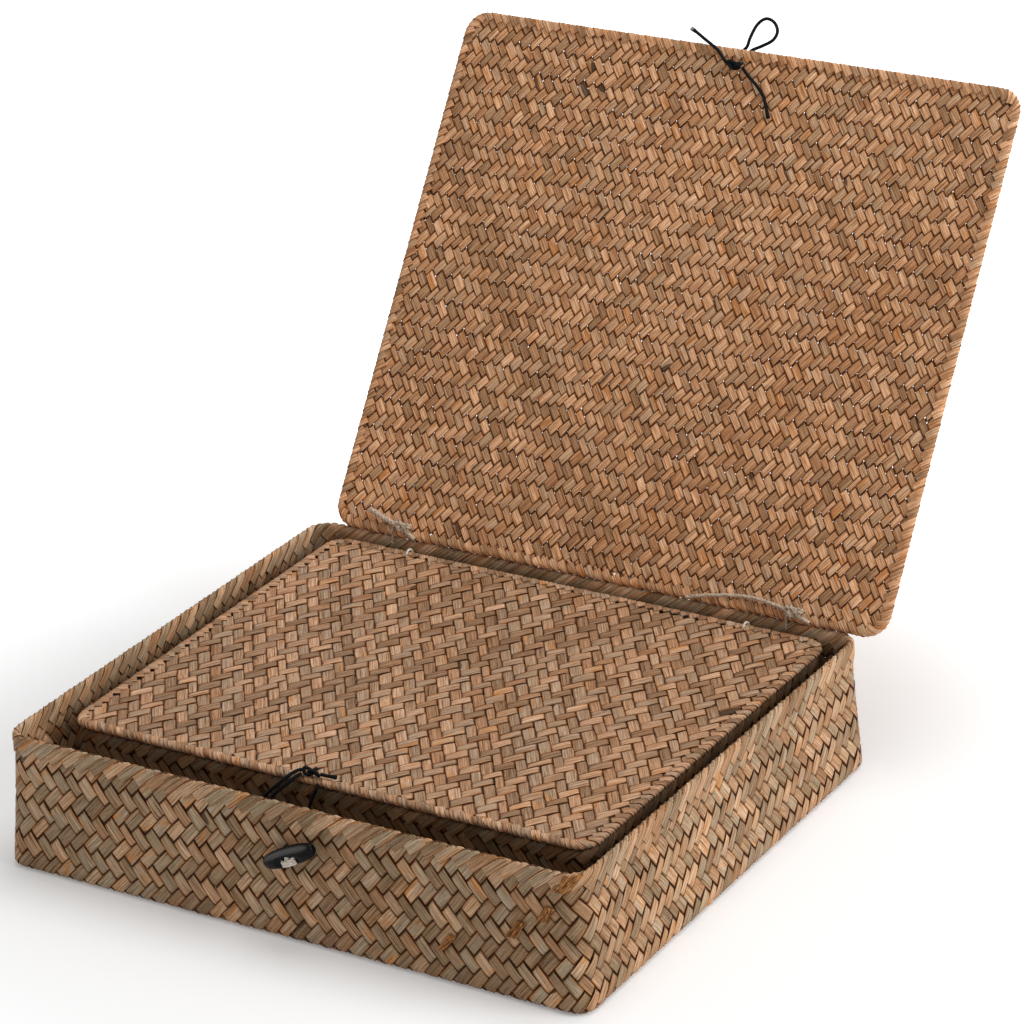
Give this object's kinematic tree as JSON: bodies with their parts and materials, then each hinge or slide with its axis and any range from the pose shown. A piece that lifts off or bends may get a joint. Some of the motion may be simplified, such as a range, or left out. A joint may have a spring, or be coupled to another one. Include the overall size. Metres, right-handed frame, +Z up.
{
  "type": "woven lidded box",
  "caption": "Flat plaited seagrass box with a hinged lid, holding a smaller box of the same make, with cord loops, toggles and twine hinges.",
  "frame": {"origin": "middle of the outer box's underside, on the surface it stands on", "axes": "+Z up, -Y towards the front with the toggles, +Y towards the hinges, +X to the right seen from the front"},
  "size_m": [0.3445, 0.4752, 0.33],
  "materials": {
    "outer_plait": "dry plaited seagrass, olive grey and tan",
    "outer_rim": "seagrass folded over a wire",
    "outer_lid": "dry plaited seagrass, warm tan",
    "outer_hem": "seagrass folded over a wire",
    "inner_plait": "dry plaited seagrass, grey brown",
    "inner_rim": "seagrass folded over a wire",
    "inner_lid": "dry plaited seagrass, tan brown",
    "inner_hem": "seagrass folded over a wire",
    "wire": "plain drawn iron wire",
    "jute": "hairy jute twine",
    "cord": "black braided elastic cord",
    "toggle": "black lacquered wood, satin"
  },
  "bodies": {
    "outer_box": {"outer_basket": "outer_plait", "outer_rim_wrap": "outer_rim", "outer_rim_wire": "wire", "outer_hinge_tie_left": "jute", "outer_hinge_tie_right": "jute", "outer_toggle_thread": "jute"},
    "outer_toggle": {"outer_toggle": "toggle"},
    "outer_lid": {"outer_lid_panel": "outer_lid", "outer_lid_border": "outer_hem", "outer_lid_wire": "wire", "outer_loop_knot": "cord", "outer_loop_cord": "cord", "outer_loop_tail_left": "cord", "outer_loop_tail_right": "cord"},
    "inner_box": {"inner_basket": "inner_plait", "inner_rim_wrap": "inner_rim", "inner_rim_wire": "wire", "inner_hinge_tie_left": "jute", "inner_hinge_tie_right": "jute", "inner_toggle_thread": "jute"},
    "inner_toggle": {"inner_toggle": "toggle"},
    "inner_lid": {"inner_lid_panel": "inner_lid", "inner_lid_border": "inner_hem", "inner_lid_wire": "wire", "inner_loop_knot": "cord", "inner_loop_cord": "cord", "inner_loop_tail_front": "cord", "inner_loop_tail_right": "cord"}
  },
  "joints": [
    {"name": "outer_lid_hinge", "type": "hinge", "parent": "outer_box", "child": "outer_lid", "pos_m": [0, 0.1434, 0.0754], "axis": [-1, 0, 0], "range_deg": [-124, 0], "deforming": ["outer_loop_tail_left"]},
    {"name": "inner_box_lift", "type": "slide", "parent": "outer_box", "child": "inner_box", "axis": [0, 0, 1], "range_m": [0, 0.1]},
    {"name": "inner_lid_hinge", "type": "hinge", "parent": "inner_box", "child": "inner_lid", "pos_m": [0, 0.1354, 0.0669], "axis": [-1, 0, 0], "range_deg": [0, 95]},
    {"name": "outer_toggle_swivel", "type": "hinge", "parent": "outer_box", "child": "outer_toggle", "pos_m": [0.008, -0.15095, 0.05], "axis": [0, -1, 0], "range_deg": [-60, 60]},
    {"name": "inner_toggle_swivel", "type": "hinge", "parent": "inner_box", "child": "inner_toggle", "pos_m": [0.006, -0.11546, 0.0405], "axis": [0, -1, 0], "range_deg": [-60, 60]}
  ]
}
